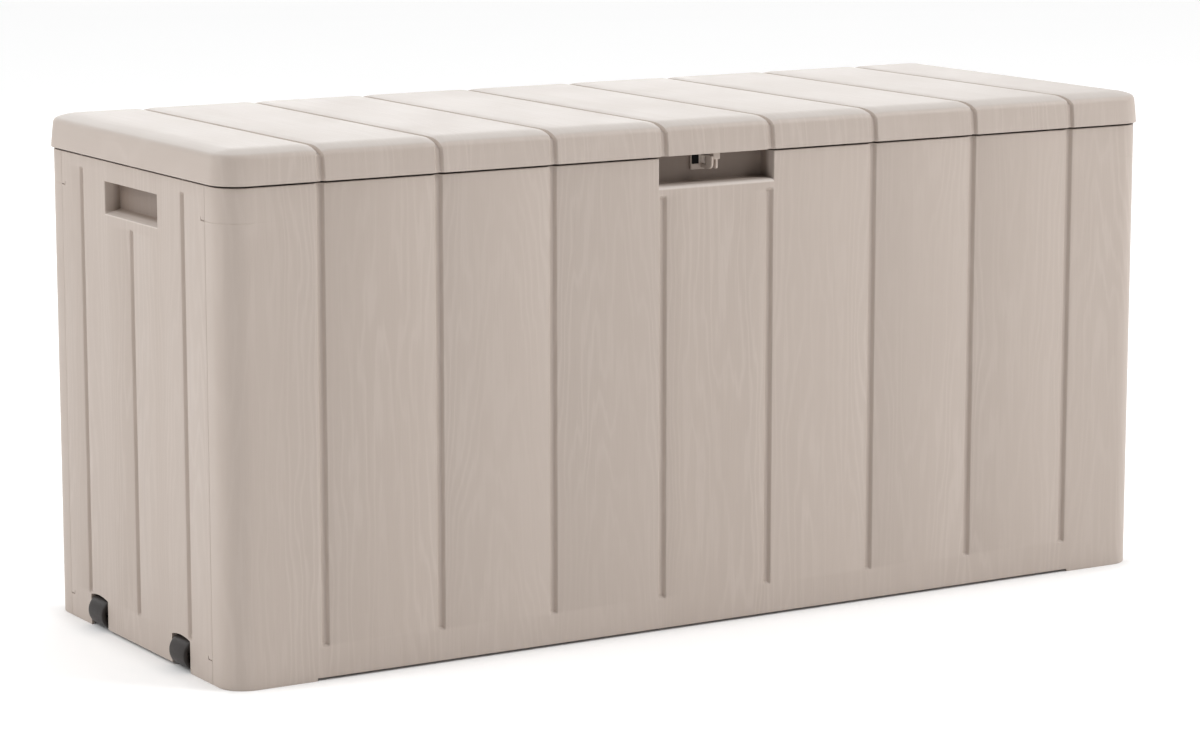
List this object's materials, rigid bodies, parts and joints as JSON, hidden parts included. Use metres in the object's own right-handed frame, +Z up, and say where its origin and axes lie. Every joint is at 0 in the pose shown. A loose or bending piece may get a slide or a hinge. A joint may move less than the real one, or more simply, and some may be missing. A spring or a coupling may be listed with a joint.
{
  "type": "deck storage box",
  "caption": "Long rectangular outdoor storage box with plank-moulded walls, a rear-hinged lid with a padlock hasp, grip pockets in the ends and rollers under one end.",
  "frame": {"origin": "on the ground under the middle of the whole object", "axes": "+X along the length, to the right as seen from the front; -Y out of the front; +Z up. The rollers are at the -X end."},
  "size_m": [1.203, 0.46, 0.565],
  "materials": {
    "taupe_plastic": "fine embossed wood grain, satin",
    "inner_plastic": "plain moulded, matt",
    "roller_plastic": "matt, lightly scuffed",
    "steel": "zinc plated"
  },
  "bodies": {
    "box": {"front_panel": "taupe_plastic", "finger_recess": "taupe_plastic", "back_panel": "taupe_plastic", "left_end_panel": "taupe_plastic", "right_end_panel": "taupe_plastic", "floor_left": "inner_plastic", "floor_right": "inner_plastic", "padlock_eye": "taupe_plastic", "padlock_eye_screw": "steel", "roller_axle_front": "steel", "roller_axle_back": "steel", "hinge_bracket_left": "inner_plastic", "hinge_bracket_middle": "inner_plastic", "hinge_bracket_right": "inner_plastic", "hinge_pin_left": "steel", "hinge_pin_middle": "steel", "hinge_pin_right": "steel", "hinge_screw_left_1": "steel", "hinge_screw_left_2": "steel", "hinge_screw_middle_1": "steel", "hinge_screw_middle_2": "steel", "hinge_screw_right_1": "steel", "hinge_screw_right_2": "steel"},
    "lid": {"lid": "taupe_plastic", "lid_hasp": "taupe_plastic", "hasp_screw_left": "steel", "hasp_screw_right": "steel"},
    "front_roller": {"roller_front": "roller_plastic"},
    "back_roller": {"roller_back": "roller_plastic"}
  },
  "joints": [
    {"name": "lid_hinge", "type": "hinge", "parent": "box", "child": "lid", "pos_m": [0.0015, 0.223, 0.521], "axis": [-1, 0, 0], "range_deg": [0, 110]},
    {"name": "front_roller_spin", "type": "hinge", "parent": "box", "child": "front_roller", "pos_m": [-0.5835, -0.106, 0.0184], "axis": [0, 1, 0], "continuous": true},
    {"name": "back_roller_spin", "type": "hinge", "parent": "box", "child": "back_roller", "pos_m": [-0.5835, 0.106, 0.0184], "axis": [0, 1, 0], "continuous": true}
  ]
}
